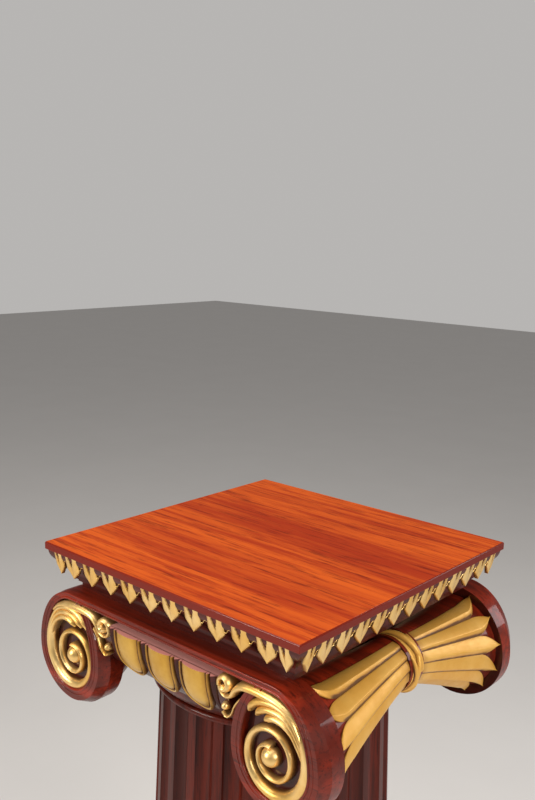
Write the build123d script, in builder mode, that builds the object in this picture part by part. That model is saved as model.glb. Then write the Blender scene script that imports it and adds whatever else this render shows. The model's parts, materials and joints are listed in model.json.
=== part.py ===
from build123d import *
import os
from math import asin, cos, degrees, radians, sin

# Display plinth: an Ionic column pedestal in carved and gilded mahogany.
# Millimetres, +Z up. The origin is the centre of the underside, the carved volute
# faces look along -Y and +Y, and the rolled bolsters lie on the -X and +X sides.

# ---- driving dimensions ----
plinth_height = 1060.0
board_side = 420.0
board_thick = 10.0
board_round = 2.0

moulding_height = 35.0
moulding_inset = 3.0          # from the board's edge to the moulding's top
moulding_rise = 23.0          # how far the ogee draws in from top to bottom
moulding_back = 12.0          # wood left behind the foot of the ogee
leaf_thick = 3.0
leaf_width = 22.0
leaf_drop = 33.0
leaf_slit = 3.0
leaf_side_radius = 28.6       # curve of a leaf's side down to its tip
last_leaf = 161.0             # centre of the leaf next to a corner leaf
corner_leaf = 187.0
front_leaf_count = 10
side_leaf_count = 11

fillet_height = 4.0
fillet_step = 3.5
neck_fillet_height = 8.0

volute_face = 203.0           # distance of the carved face from the centre plane
panel_thick = 35.0
panel_bevel = 14.0
panel_flare = 7.0
eye_spread = 169.0            # eye of a volute from the middle
eye_drop = 142.0              # eye below the top surface
volute_outer = 64.0
volute_bottom = 61.0
volute_inner = 55.5
rim_top_width = 8.0
rim_outer_width = 14.5
recess_depth = 10.0
canalis_depth = 18.0
band_height = 18.0

spiral_radii = (56.0, 42.5, 39.5, 34.0, 28.0, 24.0, 22.0, 16.0, 11.0)
spiral_start_width = 11.0
spiral_end_width = 5.0
spiral_thick = 8.0
spiral_steps = 4              # points along each quarter turn
eye_radius = 11.5
eye_proud = 13.0
eye_round = 3.8

egg_board_gap = 1.5           # between the board's end and a volute
egg_board_front = 201.0
egg_board_height = 56.5
ovolo_draw = 20.4             # how far the ovolo draws in from top to bottom
egg_width = 42.0
egg_pitch = 56.7              # as many eggs as fit on the board
egg_thick = 4.0

husk_scroll_radius = 10.5
husk_thick = 5.0
husk_ball_radius = 5.0
husk_scroll_inset = 2.0       # scroll's centre from the board's end
husk_scroll_drop = 3.0        # and below the shelf
husk_crest_reach = 20.0       # where the leaf crests, out from the board's end
husk_crest_rise = 3.0         # above the shelf
husk_leaf_width = 11.0        # below its crest
husk_root_width = 6.0
husk_root_drop = 8.0          # root of the leaf below the shelf
husk_overlap = 4.0            # how far the leaf runs past the volute's middle

core_half = 145.0
bolster_end_radius = 62.0
waist_radius = 31.5
waist_half_width = 14.0
waist_outset = 182.0          # waist centre from the middle plane
waist_drop = 100.5            # waist centre below the top surface
bolster_end_outset = 168.0
bolster_end_drop = 135.5
flare_power = 1.2
flare_steps = 4
tie_thick = 5.0
tie_half_width = 9.0
collar_thick = 3.0
fan_root_thick = 3.0
fan_tip_thick = 7.0
fan_leaf_count = 8
fan_first_angle = 76.0
fan_last_angle = -122.0
fan_leaf_gap = 1.5            # degrees between two leaves
seat = 0.3                    # clearance of a carved piece round its neighbour

echinus_height = 29.5
echinus_top_radius = 180.0
echinus_foot_radius = 155.0
ring_height = 8.4
ring_radius = 161.0
ring_round = 4.0

shaft_top_radius = 150.5
shaft_foot_radius = 174.0
shaft_wall = 30.0
stave_count = 8
flutes_per_stave = 3
top_flute_radius = 14.5
flute_depth = 9.0
flute_foot_margin = 16.0
plug_thick = 30.0

base_half = 220.0
base_block_height = 55.0
lower_torus_height = 34.0
lower_torus_radius = 212.0
scotia_height = 26.0
scotia_top_radius = 186.0
scotia_foot_radius = 194.0
scotia_depth = 5.0
upper_torus_height = 24.0
upper_torus_radius = 194.0
glide_radius = 14.0
glide_thick = 3.0
glide_inset = 28.0

rod_radius = 6.0
rod_clearance = 0.5
nut_across_flats = 18.0
nut_thick = 10.0
washer_radius = 15.0
washer_thick = 2.5
rod_end = 5.0                 # rod standing past each nut
counterbore_radius = 17.0
counterbore_depth = 22.0

# ---- levels and places that follow ----
board_half = board_side / 2
board_base = plinth_height - board_thick
moulding_base = board_base - moulding_height
moulding_top_half = board_half - moulding_inset
moulding_foot_half = moulding_top_half - moulding_rise
abacus_half = moulding_foot_half - moulding_back
fillet_board_height = 2 * fillet_height + neck_fillet_height
capital_top = moulding_base - fillet_board_height
eye_height = plinth_height - eye_drop
volute_top = capital_top - eye_height
panel_back = volute_face - panel_thick
bevel_back = volute_face - panel_bevel
recess_floor = volute_face - recess_depth
band_base = capital_top - band_height
egg_board_half = eye_spread - volute_inner - panel_flare - egg_board_gap
egg_count = int(2 * egg_board_half / egg_pitch)
egg_base = band_base - egg_board_height
ovolo_radius = (egg_board_height**2 + ovolo_draw**2) / (2 * ovolo_draw)
echinus_base = egg_base - echinus_height
ring_base = echinus_base - ring_height
waist_height = plinth_height - waist_drop
bolster_end_height = plinth_height - bolster_end_drop
block_top = glide_thick + base_block_height
lower_torus_top = block_top + lower_torus_height
scotia_top = lower_torus_top + scotia_height
shaft_base = scotia_top + upper_torus_height
shaft_slope = (shaft_foot_radius - shaft_top_radius) / (ring_base - shaft_base)
hole_radius = rod_radius + rod_clearance

os.makedirs("parts", exist_ok=True)


def save(piece, name):
    """Labels a finished piece and writes it."""
    piece.part.label = name
    export_step(piece.part, f"parts/{name}.step")


def rod_hole(bottom, top):
    """Cuts the tie rod's hole from one level to another in the part being built."""
    with Locations((0, 0, (bottom + top) / 2)):
        Cylinder(hole_radius, top - bottom, mode=Mode.SUBTRACT)


def save_turned(piece, name, angle):
    """Writes a copy of a piece turned about the plinth's axis."""
    with BuildPart() as copy:
        add(piece.part, rotation=(0, 0, angle))
    save(copy, name)


def save_mirrored(piece, name, plane):
    """Writes a mirror image of a piece."""
    with BuildPart() as copy:
        mirror(piece.part, about=plane, mode=Mode.ADD)
    save(copy, name)


# ---- top board ----
with BuildPart() as top_board:
    with Locations((0, 0, board_base + board_thick / 2)):
        Box(board_side, board_side, board_thick)
    fillet(top_board.faces().sort_by(Axis.Z)[-1].edges(), board_round)
save(top_board, "top_board")

# ---- abacus: a core board inside four mitred ogee mouldings ----
with BuildPart() as abacus_core:
    with Locations((0, 0, (moulding_base + board_base) / 2)):
        Box(2 * abacus_half, 2 * abacus_half, moulding_height)
    rod_hole(moulding_base, board_base)
    with Locations((0, 0, board_base - counterbore_depth / 2)):
        Cylinder(counterbore_radius, counterbore_depth, mode=Mode.SUBTRACT)
save(abacus_core, "abacus_core")

ogee_radius = ((moulding_height / 2) ** 2 + (moulding_rise / 2) ** 2) / moulding_rise
ogee_turn = degrees(asin(moulding_height / 2 / ogee_radius))


def ogee(grow):
    """The moulding's curve on the YZ plane, from its top down: convex, then concave."""
    start = (-moulding_top_half - grow, board_base)
    convex = JernArc(start, (0, -1), ogee_radius + grow, ogee_turn)
    concave = JernArc(convex @ 1, convex % 1, ogee_radius - grow, -ogee_turn)
    return convex @ 0, concave @ 1


def mitre():
    """Cuts both ends of a front length at 45 degrees."""
    split(bisect_by=Plane(origin=(0, 0, 0), z_dir=(1, -1, 0)), keep=Keep.TOP)
    split(bisect_by=Plane(origin=(0, 0, 0), z_dir=(-1, -1, 0)), keep=Keep.TOP)


with BuildPart() as moulding:
    with BuildSketch(Plane.YZ):
        with BuildLine():
            crest, foot = ogee(0)
            Polyline(foot, (-abacus_half, moulding_base), (-abacus_half, board_base), crest)
        make_face()
    extrude(amount=board_half, both=True)
    mitre()

for side, angle in (("front", 0), ("right", 90), ("back", 180), ("left", 270)):
    save_turned(moulding, f"leaf_moulding_{side}", angle)


with BuildSketch() as leaf_outline:
    shoulder = -leaf_drop / 2
    with BuildLine():
        lobes = Line((-leaf_width / 2, 0), (leaf_width / 2, 0))
        right_side = Line(lobes @ 1, (leaf_width / 2, shoulder))
        left_side = Line(lobes @ 0, (-leaf_width / 2, shoulder))
        RadiusArc(right_side @ 1, (0, -leaf_drop), leaf_side_radius)
        RadiusArc(left_side @ 1, (0, -leaf_drop), -leaf_side_radius)
    make_face()
    Rectangle(leaf_slit, leaf_drop, mode=Mode.SUBTRACT)


def leaf_row(count):
    """The gilded leaves of one length of moulding, a skin on its ogee."""
    pitch = 2 * last_leaf / (count - 1)
    places = [(index * pitch - last_leaf, board_base) for index in range(count)]
    places += [(-corner_leaf, board_base), (corner_leaf, board_base)]
    with BuildPart() as row:
        with BuildSketch(Plane.YZ):
            with BuildLine():
                inner_top, inner_foot = ogee(0)
                outer_top, outer_foot = ogee(leaf_thick)
                Line(inner_top, outer_top)
                Line(inner_foot, outer_foot)
            make_face()
        extrude(amount=board_half, both=True)
        mitre()
        with BuildSketch(Plane.XZ):
            with Locations(*places):
                add(leaf_outline.sketch)
        extrude(amount=board_half, mode=Mode.INTERSECT)
    return row


front_leaves = leaf_row(front_leaf_count)
side_leaves = leaf_row(side_leaf_count)
save_turned(front_leaves, "gilt_leaves_front", 0)
save_turned(front_leaves, "gilt_leaves_back", 180)
save_turned(side_leaves, "gilt_leaves_right", 90)
save_turned(side_leaves, "gilt_leaves_left", 270)

# ---- stepped fillet board under the mouldings ----
with BuildPart() as fillet_board:
    level = moulding_base
    half = moulding_foot_half
    for step_height in (fillet_height, fillet_height, neck_fillet_height):
        with Locations((0, 0, level - step_height / 2)):
            Box(2 * half, 2 * half, step_height)
        level -= step_height
        half -= fillet_step
    rod_hole(capital_top, moulding_base)
save(fillet_board, "fillet_board")


# ---- volute panels: one carved board at the front and one at the back ----
def quadrants(side, outer, top, inner, bottom):
    """A closed outline of four elliptical quadrants about a volute's eye."""
    eye = (side * eye_spread, eye_height)
    right, left = (outer, inner) if side > 0 else (inner, outer)
    with BuildSketch() as outline:
        with BuildLine():
            EllipticalCenterArc(eye, right, top, start_angle=0, arc_size=90)
            EllipticalCenterArc(eye, left, top, start_angle=90, arc_size=90)
            EllipticalCenterArc(eye, left, bottom, start_angle=180, arc_size=90)
            EllipticalCenterArc(eye, right, bottom, start_angle=270, arc_size=90)
        make_face()
    return outline.sketch


def disc(side, grow):
    """The outline of one volute."""
    return quadrants(side, volute_outer + grow, volute_top, volute_inner + grow, volute_bottom + grow)


with BuildPart() as volute_panel:
    for side in (-1, 1):
        with BuildSketch(Plane.XZ.offset(panel_back)):
            add(disc(side, panel_flare))
        extrude(amount=bevel_back - panel_back)
        with BuildSketch(Plane.XZ.offset(bevel_back)):
            add(disc(side, panel_flare))
        with BuildSketch(Plane.XZ.offset(volute_face)):
            add(disc(side, 0))
        loft()
    with BuildSketch(Plane.XZ.offset(panel_back)):
        with Locations((0, capital_top - band_height / 2)):
            Rectangle(2 * eye_spread, band_height)
    extrude(amount=panel_thick)
    with BuildSketch(Plane.XZ.offset(volute_face)):
        with Locations((0, (band_base + capital_top - rim_top_width) / 2)):
            Rectangle(2 * eye_spread, band_height - rim_top_width)
    extrude(amount=-recess_depth, mode=Mode.SUBTRACT)
    with BuildSketch(Plane.XZ.offset(volute_face)):
        with Locations((0, (band_base + capital_top - rim_top_width) / 2)):
            Rectangle(2 * egg_board_half, band_height - rim_top_width)
    extrude(amount=-canalis_depth, mode=Mode.SUBTRACT)
    for side in (-1, 1):
        with BuildSketch(Plane.XZ.offset(volute_face)):
            add(
                quadrants(
                    side,
                    volute_outer - rim_outer_width,
                    volute_top - rim_top_width,
                    volute_inner - rim_outer_width,
                    volute_bottom - rim_outer_width,
                )
            )
        extrude(amount=-recess_depth, mode=Mode.SUBTRACT)
save(volute_panel, "volute_panel_front")
save_turned(volute_panel, "volute_panel_back", 180)


# ---- gilded spirals, one in each volute ----
def spiral_point(turn, edge):
    """A point of the right volute's spiral, turn quarters clockwise from the top; edge is -1 or 1."""
    last = len(spiral_radii) - 1
    quarter = min(int(turn), last - 1)
    radius = spiral_radii[quarter] + (spiral_radii[quarter + 1] - spiral_radii[quarter]) * (turn - quarter)
    width = spiral_start_width + (spiral_end_width - spiral_start_width) * turn / last
    angle = radians(90 - 90 * turn)
    reach = radius + edge * width / 2
    return eye_spread + reach * cos(angle), eye_height + reach * sin(angle)


def spiral_edge(edge):
    """Points along the outer or inner edge of the spiral band."""
    count = (len(spiral_radii) - 1) * spiral_steps
    return [spiral_point(index / spiral_steps, edge) for index in range(count + 1)]


with BuildPart() as spiral:
    with BuildSketch(Plane.XZ.offset(recess_floor)):
        with BuildLine():
            outer_edge = Spline(*spiral_edge(1))
            inner_edge = Spline(*spiral_edge(-1))
            Line(outer_edge @ 0, inner_edge @ 0)
            Line(outer_edge @ 1, inner_edge @ 1)
        make_face()
        with Locations((eye_spread, eye_height)):
            Circle(eye_radius + seat, mode=Mode.SUBTRACT)
    extrude(amount=spiral_thick)
save(spiral, "gilt_spiral_front_right")
save_mirrored(spiral, "gilt_spiral_front_left", Plane.YZ)
save_turned(spiral, "gilt_spiral_back_left", 180)
with BuildPart() as other_spiral:
    mirror(spiral.part, about=Plane.XZ)
save(other_spiral, "gilt_spiral_back_right")

with BuildPart() as eye_buttons:
    for side in (-1, 1):
        with BuildSketch(Plane.XZ.offset(recess_floor)):
            with Locations((side * eye_spread, eye_height)):
                Circle(eye_radius)
        extrude(amount=eye_proud)
    fillet(eye_buttons.faces().sort_by(Axis.Y)[:2].edges(), eye_round)
    mirror(about=Plane.XZ)
save(eye_buttons, "gilt_eye_buttons")

# ---- egg boards: an ovolo between the volutes, with gilded eggs on it ----


def ovolo(grow):
    """The ovolo's curve on the YZ plane, from the shelf down."""
    start = (-egg_board_front - grow, band_base)
    turn = degrees(asin(egg_board_height / ovolo_radius))
    return JernArc(start, (0, -1), ovolo_radius + grow, turn)


with BuildPart() as egg_board:
    with BuildSketch(Plane.YZ):
        with BuildLine():
            face = ovolo(0)
            Polyline(face @ 1, (-panel_back, egg_base), (-panel_back, band_base), face @ 0)
        make_face()
    extrude(amount=egg_board_half, both=True)
save(egg_board, "egg_board_front")
save_turned(egg_board, "egg_board_back", 180)

with BuildSketch() as egg_outline:
    shoulder = egg_width / 2 - egg_board_height
    with BuildLine():
        brow = Line((-egg_width / 2, 0), (egg_width / 2, 0))
        right_side = Line(brow @ 1, (egg_width / 2, shoulder))
        left_side = Line(brow @ 0, (-egg_width / 2, shoulder))
        ThreePointArc(left_side @ 1, (0, -egg_board_height), right_side @ 1)
    make_face()

with BuildPart() as eggs:
    with BuildSketch(Plane.YZ):
        with BuildLine():
            face = ovolo(0)
            skin = ovolo(egg_thick)
            Line(face @ 0, skin @ 0)
            Line(face @ 1, skin @ 1)
        make_face()
    extrude(amount=egg_board_half, both=True)
    with BuildSketch(Plane.XZ):
        with Locations((0, band_base)):
            with GridLocations(egg_pitch, egg_pitch, egg_count, 1):
                add(egg_outline.sketch)
    extrude(amount=volute_face + egg_thick, mode=Mode.INTERSECT)
save(eggs, "gilt_eggs_front")
save_turned(eggs, "gilt_eggs_back", 180)

# ---- gilded husks, from the egg board's ends over the volutes ----
husk_front = volute_face + husk_thick
with BuildPart() as husk:
    with BuildSketch(Plane.XZ.offset(recess_floor)):
        with Locations((egg_board_half - husk_scroll_inset, band_base - husk_scroll_drop)):
            Circle(husk_scroll_radius)
        with Locations((egg_board_half - husk_ball_radius, band_base - egg_board_height / 2)):
            Circle(husk_ball_radius)
    extrude(amount=husk_front - recess_floor)
    add(egg_board.part, mode=Mode.SUBTRACT)
    add(volute_panel.part, mode=Mode.SUBTRACT)
    with BuildSketch(Plane.XZ.offset(volute_face)):
        with BuildLine():
            upper = Spline(
                (egg_board_half, band_base - husk_root_drop),
                (egg_board_half + husk_crest_reach, band_base + husk_crest_rise),
                (eye_spread + husk_overlap, capital_top - rim_top_width - husk_crest_rise),
            )
            lower = Spline(
                (egg_board_half, band_base - husk_root_drop - husk_root_width),
                (egg_board_half + husk_crest_reach, band_base + husk_crest_rise - husk_leaf_width),
                (eye_spread + husk_overlap, eye_height + spiral_radii[0]),
            )
            Line(upper @ 0, lower @ 0)
            Line(upper @ 1, lower @ 1)
        make_face()
    extrude(amount=husk_thick)
save(husk, "gilt_husk_front_right")
save_mirrored(husk, "gilt_husk_front_left", Plane.YZ)
save_turned(husk, "gilt_husk_back_left", 180)
with BuildPart() as other_husk:
    mirror(husk.part, about=Plane.XZ)
save(other_husk, "gilt_husk_back_right")


# ---- bolsters: two flared halves a side, waisted at the tie ----
def bolster_share(reach):
    """0 at the waist's end, 1 where the bolster meets the volute panel."""
    return max(0.0, (reach - waist_half_width) / (panel_back - waist_half_width))


def bolster_place(reach):
    """Centre of the bolster's round section at a distance from the middle."""
    share = bolster_share(reach)
    outset = waist_outset + (bolster_end_outset - waist_outset) * share
    height = waist_height + (bolster_end_height - waist_height) * share
    return outset, height


def bolster_radius(reach):
    return waist_radius + (bolster_end_radius - waist_radius) * bolster_share(reach) ** flare_power


flare_pitch = (panel_back - waist_half_width) / flare_steps
flare_stations = [waist_half_width + flare_pitch * index for index in range(flare_steps + 1)]


def bolster(grow):
    """The right front half bolster, or a larger one to cut its seat."""
    with BuildPart() as roll:
        with BuildSketch(Plane.XZ):
            with Locations(bolster_place(0)):
                Circle(bolster_radius(0) + grow)
        extrude(amount=waist_half_width)
        for reach in flare_stations:
            with BuildSketch(Plane.XZ.offset(reach)):
                with Locations(bolster_place(reach)):
                    Circle(bolster_radius(reach) + grow)
        loft()
    return roll


def save_four(piece, name):
    """Writes the right front piece and its three mirror images."""
    save(piece, f"{name}_right_front")
    save_mirrored(piece, f"{name}_left_front", Plane.YZ)
    save_mirrored(piece, f"{name}_right_back", Plane.XZ)
    save_turned(piece, f"{name}_left_back", 180)


half_bolster = bolster(0)
save_four(half_bolster, "bolster")


# ---- gilded fans: pleated leaves spreading from the tie ----
def fan_outer(reach):
    thick = fan_root_thick + (fan_tip_thick - fan_root_thick) * bolster_share(reach)
    return bolster_radius(reach) + thick


leaf_sweep = (fan_last_angle - fan_first_angle) / fan_leaf_count
with BuildPart() as fan:
    for index in range(fan_leaf_count):
        start = fan_first_angle + index * leaf_sweep - fan_leaf_gap / 2
        sweep = leaf_sweep + fan_leaf_gap
        for reach in flare_stations:
            place = bolster_place(reach)
            with BuildSketch(Plane.XZ.offset(reach)):
                with BuildLine():
                    inner = CenterArc(place, bolster_radius(reach) + seat, start, sweep)
                    outer = CenterArc(place, fan_outer(reach), start, sweep)
                    Line(inner @ 0, outer @ 0)
                    Line(inner @ 1, outer @ 1)
                make_face()
        loft()
save_four(fan, "gilt_fan")

# ---- ties: a gilded band round each waist between two mahogany rings ----


def waist_ring(thick):
    """The section of a ring on the right bolster's waist."""
    with BuildSketch() as section:
        with Locations(bolster_place(0)):
            Circle(waist_radius + thick)
            Circle(waist_radius, mode=Mode.SUBTRACT)
    return section.sketch


with BuildPart() as tie:
    with BuildSketch(Plane.XZ.offset(-tie_half_width)):
        add(waist_ring(tie_thick))
    extrude(amount=2 * tie_half_width)
save(tie, "gilt_tie_right")
save_mirrored(tie, "gilt_tie_left", Plane.YZ)

with BuildPart() as collars:
    for start in (tie_half_width, -waist_half_width):
        with BuildSketch(Plane.XZ.offset(start)):
            add(waist_ring(collar_thick))
        extrude(amount=waist_half_width - tie_half_width)
save(collars, "tie_collars_right")
save_mirrored(collars, "tie_collars_left", Plane.YZ)


# ---- capital core and echinus, coved to seat the bolsters ----
def cut_seats(cutter):
    """Cuts the part being built by a half bolster in all four places."""
    add(cutter.part, mode=Mode.SUBTRACT)
    for angle in (0, 180):
        mirrored = mirror(cutter.part, about=Plane.YZ, mode=Mode.PRIVATE)
        add(mirrored, rotation=(0, 0, angle), mode=Mode.SUBTRACT)
    add(cutter.part, rotation=(0, 0, 180), mode=Mode.SUBTRACT)


with BuildPart() as capital_core:
    with Locations((0, 0, (egg_base + capital_top) / 2)):
        Box(2 * core_half, 2 * panel_back, capital_top - egg_base)
    rod_hole(egg_base, capital_top)
    cut_seats(bolster(seat))
save(capital_core, "capital_core")

with BuildPart() as echinus:
    with BuildSketch(Plane.XZ):
        with BuildLine():
            flare = RadiusArc(
                (echinus_foot_radius, echinus_base), (echinus_top_radius, egg_base), -2 * echinus_height
            )
            Polyline(flare @ 1, (0, egg_base), (0, echinus_base), flare @ 0)
        make_face()
    revolve(axis=Axis.Z)
    rod_hole(echinus_base, egg_base)
    cut_seats(bolster(fan_tip_thick + seat))
save(echinus, "echinus")

with BuildPart() as neck_ring:
    with Locations((0, 0, (ring_base + echinus_base) / 2)):
        Cylinder(ring_radius, ring_height)
    fillet(neck_ring.edges(), ring_round)
    rod_hole(ring_base, echinus_base)
save(neck_ring, "neck_ring")


# ---- shaft: tapered fluted staves round two plugs ----
def shaft_radius(height):
    return shaft_foot_radius - shaft_slope * (height - shaft_base)


def shaft_bore(height):
    return shaft_radius(height) - shaft_wall


def flute_radius(height):
    """A flute narrows with the shaft."""
    return top_flute_radius * shaft_radius(height) / shaft_top_radius


def flute_centre(height, turn):
    """A point on a flute's centre line."""
    reach = shaft_radius(height) + flute_radius(height) - flute_depth
    return Vector(reach * cos(turn), reach * sin(turn), height)


flute_foot = shaft_base + flute_foot_margin
stave_angle = 360 / stave_count
flute_angle = stave_angle / flutes_per_stave

with BuildPart() as stave:
    with BuildSketch(Plane.XZ):
        with BuildLine():
            Polyline(
                (shaft_bore(shaft_base), shaft_base),
                (shaft_radius(shaft_base), shaft_base),
                (shaft_radius(ring_base), ring_base),
                (shaft_bore(ring_base), ring_base),
                close=True,
            )
        make_face()
    revolve(axis=Axis.Z, revolution_arc=stave_angle)
    for index in range(flutes_per_stave):
        turn = radians((index + 0.5) * flute_angle)
        foot, head = (flute_centre(height, turn) for height in (flute_foot, ring_base + flute_depth))
        with BuildSketch(Plane(origin=foot, z_dir=head - foot)):
            Circle(flute_radius(flute_foot))
        with BuildSketch(Plane(origin=head, z_dir=head - foot)):
            Circle(flute_radius(ring_base))
        loft(mode=Mode.SUBTRACT)
        with Locations(foot):
            Sphere(flute_radius(flute_foot), mode=Mode.SUBTRACT)
for index in range(stave_count):
    save_turned(stave, f"shaft_stave_{index + 1}", index * stave_angle)


def plug(bottom, top):
    """A round plug that fills the shaft's bore between two levels."""
    with BuildPart() as disc_plug:
        with BuildSketch(Plane.XZ):
            with BuildLine():
                Polyline(
                    (hole_radius, bottom),
                    (shaft_bore(bottom), bottom),
                    (shaft_bore(top), top),
                    (hole_radius, top),
                    close=True,
                )
            make_face()
        revolve(axis=Axis.Z)
    return disc_plug


save(plug(ring_base - plug_thick, ring_base), "shaft_top_plug")
save(plug(shaft_base, shaft_base + plug_thick), "shaft_foot_plug")

# ---- base: torus, scotia and torus on a square block ----


def torus_ring(bottom, height, radius):
    """A turned disc with a half-round edge."""
    with BuildPart() as ring:
        with BuildSketch(Plane.XZ):
            with BuildLine():
                edge = ThreePointArc(
                    (radius - height / 2, bottom),
                    (radius, bottom + height / 2),
                    (radius - height / 2, bottom + height),
                )
                Polyline(edge @ 1, (hole_radius, bottom + height), (hole_radius, bottom), edge @ 0)
            make_face()
        revolve(axis=Axis.Z)
    return ring


save(torus_ring(scotia_top, upper_torus_height, upper_torus_radius), "base_upper_torus")
save(torus_ring(block_top, lower_torus_height, lower_torus_radius), "base_lower_torus")

with BuildPart() as scotia:
    with BuildSketch(Plane.XZ):
        with BuildLine():
            hollow = ThreePointArc(
                (scotia_foot_radius, lower_torus_top),
                (scotia_top_radius - scotia_depth, (lower_torus_top + scotia_top) / 2),
                (scotia_top_radius, scotia_top),
            )
            Polyline(hollow @ 1, (hole_radius, scotia_top), (hole_radius, lower_torus_top), hollow @ 0)
        make_face()
    revolve(axis=Axis.Z)
save(scotia, "base_scotia")

with BuildPart() as plinth_block:
    with Locations((0, 0, (glide_thick + block_top) / 2)):
        Box(2 * base_half, 2 * base_half, base_block_height)
    fillet(plinth_block.faces().sort_by(Axis.Z)[-1].edges(), board_round)
    rod_hole(glide_thick, block_top)
    with Locations((0, 0, glide_thick + counterbore_depth / 2)):
        Cylinder(counterbore_radius, counterbore_depth, mode=Mode.SUBTRACT)
save(plinth_block, "plinth_block")

with BuildPart() as floor_glides:
    with BuildSketch():
        with GridLocations(2 * (base_half - glide_inset), 2 * (base_half - glide_inset), 2, 2):
            Circle(glide_radius)
    extrude(amount=glide_thick)
save(floor_glides, "floor_glides")

# ---- tie rod through the whole plinth, with a washer and a nut at each end ----
upper_seat = board_base - counterbore_depth
lower_seat = glide_thick + counterbore_depth
rod_reach = washer_thick + nut_thick + rod_end

with BuildPart() as tie_rod:
    with BuildSketch(Plane.XY.offset(lower_seat - rod_reach)):
        Circle(rod_radius)
    extrude(amount=upper_seat - lower_seat + 2 * rod_reach)
save(tie_rod, "tie_rod")

with BuildPart() as washers:
    for bottom in (upper_seat, lower_seat - washer_thick):
        with BuildSketch(Plane.XY.offset(bottom)):
            Circle(washer_radius)
            Circle(rod_radius, mode=Mode.SUBTRACT)
        extrude(amount=washer_thick)
save(washers, "rod_washers")

with BuildPart() as nuts:
    for bottom in (upper_seat + washer_thick, lower_seat - washer_thick - nut_thick):
        with BuildSketch(Plane.XY.offset(bottom)):
            RegularPolygon(nut_across_flats / 2, 6, major_radius=False)
            Circle(rod_radius, mode=Mode.SUBTRACT)
        extrude(amount=nut_thick)
save(nuts, "rod_nuts")
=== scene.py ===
import json
from math import asin, cos, pi, radians, sin, sqrt

import bmesh
import bpy
from mathutils import Matrix, Vector


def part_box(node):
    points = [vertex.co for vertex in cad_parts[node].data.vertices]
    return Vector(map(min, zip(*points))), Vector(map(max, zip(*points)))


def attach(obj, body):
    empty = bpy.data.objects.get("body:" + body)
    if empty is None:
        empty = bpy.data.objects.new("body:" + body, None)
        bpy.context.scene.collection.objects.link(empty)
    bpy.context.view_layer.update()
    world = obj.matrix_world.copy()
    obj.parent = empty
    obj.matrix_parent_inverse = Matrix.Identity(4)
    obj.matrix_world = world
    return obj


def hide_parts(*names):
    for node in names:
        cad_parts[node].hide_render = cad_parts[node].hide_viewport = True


# The display plinth's looks: an Ionic column pedestal in lacquered mahogany with gilded
# carving. The plain turned and joined pieces keep their CAD mesh and get a material; every
# carved piece is modelled here on the surface that the CAD gives it.

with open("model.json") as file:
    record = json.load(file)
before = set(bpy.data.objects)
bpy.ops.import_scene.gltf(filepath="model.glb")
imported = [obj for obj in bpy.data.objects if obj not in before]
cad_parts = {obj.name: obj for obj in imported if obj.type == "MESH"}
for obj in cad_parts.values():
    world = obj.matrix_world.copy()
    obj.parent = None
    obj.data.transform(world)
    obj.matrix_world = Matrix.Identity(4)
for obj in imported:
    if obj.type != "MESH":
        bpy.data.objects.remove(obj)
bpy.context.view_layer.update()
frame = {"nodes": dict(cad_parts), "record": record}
nodes = frame["nodes"]
mm = 0.001


# ---- places read from the frame ----
board_low, board_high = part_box("top_board")
moulding_low, moulding_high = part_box("leaf_moulding_front")
fillet_low, fillet_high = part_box("fillet_board")
panel_low, panel_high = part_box("volute_panel_front")
button_low, button_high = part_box("gilt_eye_buttons")
egg_low, egg_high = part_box("egg_board_front")
tie_low, tie_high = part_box("gilt_tie_right")
roll_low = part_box("bolster_right_front")[0]

board_half = board_high.x
board_base = board_low.z
ogee_crest = -moulding_low.y
ogee_height = moulding_high.z - moulding_low.z
ogee_draw = ogee_crest - fillet_high.x
capital_top = fillet_low.z
volute_face = -panel_low.y
panel_back = -panel_high.y
eye_radius = (button_high.z - button_low.z) / 2
eye_height = (button_high.z + button_low.z) / 2
eye_spread = button_high.x - eye_radius
egg_front = -egg_low.y
band_base = egg_high.z
egg_height = egg_high.z - egg_low.z
waist_outset = (tie_low.x + tie_high.x) / 2
waist_height = (tie_low.z + tie_high.z) / 2
volute_top = capital_top - eye_height

# ---- sizes of the carving ----
# the volute panels, their recess and their rim
recess_floor = volute_face - 10 * mm
rim_top = 8 * mm
rim_side = 14.5 * mm
volute_outer = 64 * mm
volute_bottom = 61 * mm
volute_inner = 55.5 * mm
knob_radius = 12 * mm
knob_height = 14.5 * mm
# the leaves; drop is a share of the ogee's height and fill a share of the pitch
leaf_drop = 0.85
leaf_set = 0.6 * mm
leaf_lean = 8.5 * mm
leaf_thickness = 2.6 * mm
leaf_fill = 0.7
outer_leaf = 161 * mm
corner_leaf = 187 * mm
corner_leaf_share = 0.62
front_leaf_count = 10
side_leaf_count = 11
# the ovolo with its eggs and darts; drop is a share of the ovolo's height
ovolo_draw = 20.4 * mm
egg_pitch = 56.7 * mm
egg_half_width = 23.5 * mm
dart_half_width = 5.2 * mm
dart_drop = 0.86
# the bolsters, the ties and the fans; turns are degrees above the level
waist_radius = 31.5 * mm
waist_half = 14 * mm
roll_end_radius = 62 * mm
roll_end_outset = 168 * mm
flare_power = 1.2
tie_half_width = 9.5 * mm
pleat_count = 8
fan_top_turn = 76
fan_foot_turn = -122
fan_tip_start = 137 * mm
fan_tip_end = 167.5 * mm
# the meshes
edge_softening = 0.8 * mm
weld_gap = 0.02 * mm
shortest_edge = 0.01 * mm

OUT = Vector((0, -1, 0))
UP = Vector((0, 0, 1))


def lengths(*values):
    """Lengths in metres from a list of millimetres."""
    return [value * mm for value in values]


def shade(value, low, high):
    """0 below low, 1 above high and a smooth rise between them."""
    share = min(1.0, max(0.0, (value - low) / (high - low)))
    return share * share * (3 - 2 * share)


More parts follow.
